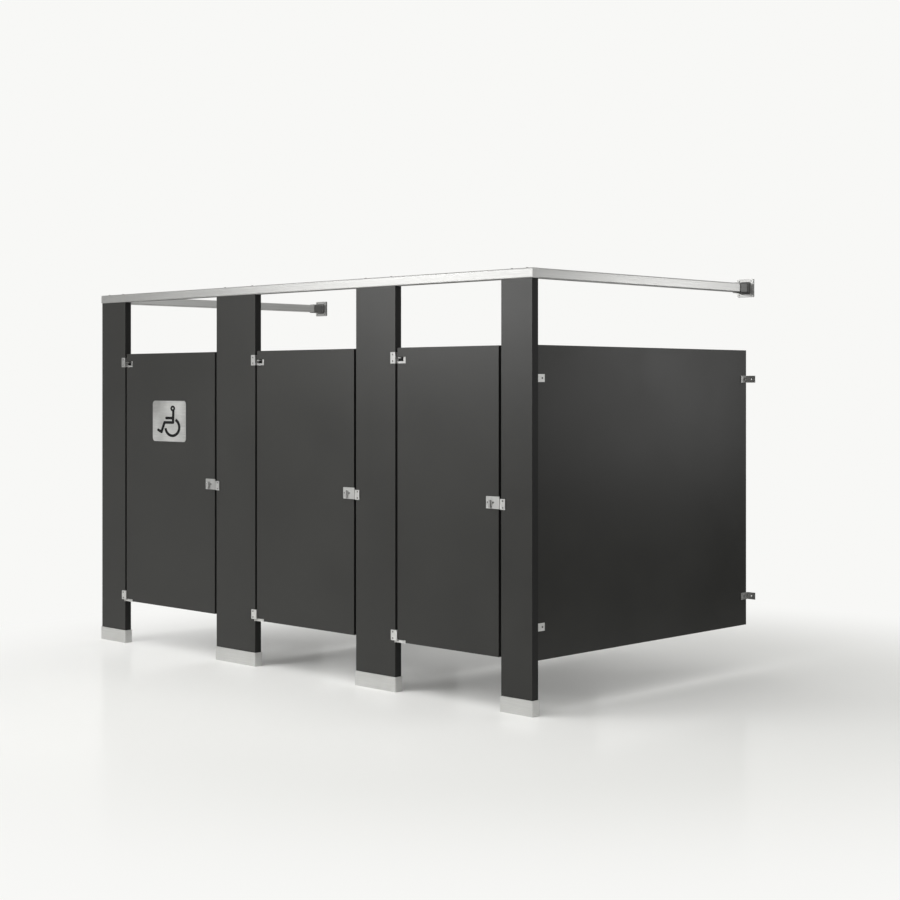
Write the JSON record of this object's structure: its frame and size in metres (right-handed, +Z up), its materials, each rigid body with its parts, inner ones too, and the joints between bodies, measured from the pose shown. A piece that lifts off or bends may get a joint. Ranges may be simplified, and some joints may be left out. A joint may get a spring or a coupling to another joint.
{
  "type": "toilet partition",
  "caption": "Overhead-braced toilet partition: dark pilasters on metal shoes, pivoting doors with turn latches, end and divider panels, and a square headrail braced to the wall.",
  "frame": {"origin": "on the floor, in the middle of the overall width and depth", "axes": "+X right along the front, +Y from the front to the wall, +Z up"},
  "size_m": [3.5714, 1.765, 2.11],
  "materials": {
    "board": "charcoal compact laminate with a fine satin texture and near-black edges",
    "satin_steel": "satin brushed stainless steel",
    "lever_black": "black-coated turn lever on a satin steel rose",
    "rail_aluminium": "satin anodised extrusion",
    "fastener_steel": "plain dark stainless fasteners",
    "zinc_steel": "zinc-plated mild steel, hidden",
    "spigot_aluminium": "mill-finish aluminium, hidden",
    "bush_nylon": "natural nylon",
    "bumper_rubber": "black rubber",
    "sign_steel": "brushed stainless sign plate",
    "sign_paint": "black raised symbol"
  },
  "bodies": {
    "root": {"bottom_hinge_brackets": "satin_steel", "divider_panel_1": "board", "divider_panel_2": "board", "end_panel_left": "board", "end_panel_right": "board", "flange_set_screws": "fastener_steel", "foot_plates": "zinc_steel", "front_rail": "rail_aluminium", "keeper_bumpers": "bumper_rubber", "keepers": "satin_steel", "levelling_nuts": "zinc_steel", "levelling_studs": "zinc_steel", "panel_bolts": "fastener_steel", "pilaster_1": "board", "pilaster_2": "board", "pilaster_3": "board", "pilaster_4": "board", "pilaster_brackets": "satin_steel", "pilaster_screws": "fastener_steel", "pilaster_shoe_1": "satin_steel", "pilaster_shoe_2": "satin_steel", "pilaster_shoe_3": "satin_steel", "pilaster_shoe_4": "satin_steel", "pivot_pins": "fastener_steel", "rail_bolts": "fastener_steel", "rail_corner_bolts": "fastener_steel", "rail_corner_spigots": "spigot_aluminium", "rail_end_caps": "rail_aluminium", "rail_spacers": "zinc_steel", "return_rail_left": "rail_aluminium", "return_rail_right": "rail_aluminium", "top_hinge_brackets": "satin_steel", "wall_brackets": "satin_steel", "wall_flanges": "satin_steel"},
    "door_1": {"door_1": "board", "pivot_bushes_1": "bush_nylon", "latch_plates_1": "satin_steel", "latch_case_1": "zinc_steel", "latch_bolts_1": "fastener_steel", "sign_plate": "sign_steel", "sign_symbol": "sign_paint"},
    "turn_1": {"latch_pinion_1": "zinc_steel", "thumb_turns_1": "lever_black"},
    "bolt_1": {"slide_bolt_1": "satin_steel"},
    "door_2": {"door_2": "board", "pivot_bushes_2": "bush_nylon", "latch_plates_2": "satin_steel", "latch_case_2": "zinc_steel", "latch_bolts_2": "fastener_steel"},
    "turn_2": {"latch_pinion_2": "zinc_steel", "thumb_turns_2": "lever_black"},
    "bolt_2": {"slide_bolt_2": "satin_steel"},
    "door_3": {"door_3": "board", "pivot_bushes_3": "bush_nylon", "latch_plates_3": "satin_steel", "latch_case_3": "zinc_steel", "latch_bolts_3": "fastener_steel"},
    "turn_3": {"latch_pinion_3": "zinc_steel", "thumb_turns_3": "lever_black"},
    "bolt_3": {"slide_bolt_3": "satin_steel"}
  },
  "joints": [
    {"name": "door_1_swing", "type": "hinge", "parent": "root", "child": "door_1", "pos_m": [-1.4455, -0.859, 0.264], "axis": [0, 0, -1], "range_deg": [0, 105], "stiffness_Nm_per_rad": 2, "springref_deg": -28.65},
    {"name": "turn_1_spin", "type": "hinge", "parent": "door_1", "child": "turn_1", "pos_m": [-0.6885, -0.859, 0.983], "axis": [0, -1, 0], "range_deg": [0, 90]},
    {"name": "bolt_1_slide", "type": "slide", "parent": "door_1", "child": "bolt_1", "axis": [1, 0, 0], "range_m": [0, 0.02121]},
    {"name": "door_2_swing", "type": "hinge", "parent": "root", "child": "door_2", "pos_m": [-0.2185, -0.859, 0.264], "axis": [0, 0, -1], "range_deg": [0, 105], "stiffness_Nm_per_rad": 2, "springref_deg": -28.65},
    {"name": "turn_2_spin", "type": "hinge", "parent": "door_2", "child": "turn_2", "pos_m": [0.4715, -0.859, 0.983], "axis": [0, -1, 0], "range_deg": [0, 90]},
    {"name": "bolt_2_slide", "type": "slide", "parent": "door_2", "child": "bolt_2", "axis": [1, 0, 0], "range_m": [0, 0.02121]},
    {"name": "door_3_swing", "type": "hinge", "parent": "root", "child": "door_3", "pos_m": [0.8905, -0.859, 0.264], "axis": [0, 0, -1], "range_deg": [0, 105], "stiffness_Nm_per_rad": 2, "springref_deg": -28.65},
    {"name": "turn_3_spin", "type": "hinge", "parent": "door_3", "child": "turn_3", "pos_m": [1.4845, -0.859, 0.983], "axis": [0, -1, 0], "range_deg": [0, 90]},
    {"name": "bolt_3_slide", "type": "slide", "parent": "door_3", "child": "bolt_3", "axis": [1, 0, 0], "range_m": [0, 0.02121]}
  ],
  "couplings": [
    {"joint": "turn_1_spin", "follows": "bolt_1_slide", "rad_per_m": 74.074},
    {"joint": "turn_2_spin", "follows": "bolt_2_slide", "rad_per_m": 74.074},
    {"joint": "turn_3_spin", "follows": "bolt_3_slide", "rad_per_m": 74.074}
  ]
}
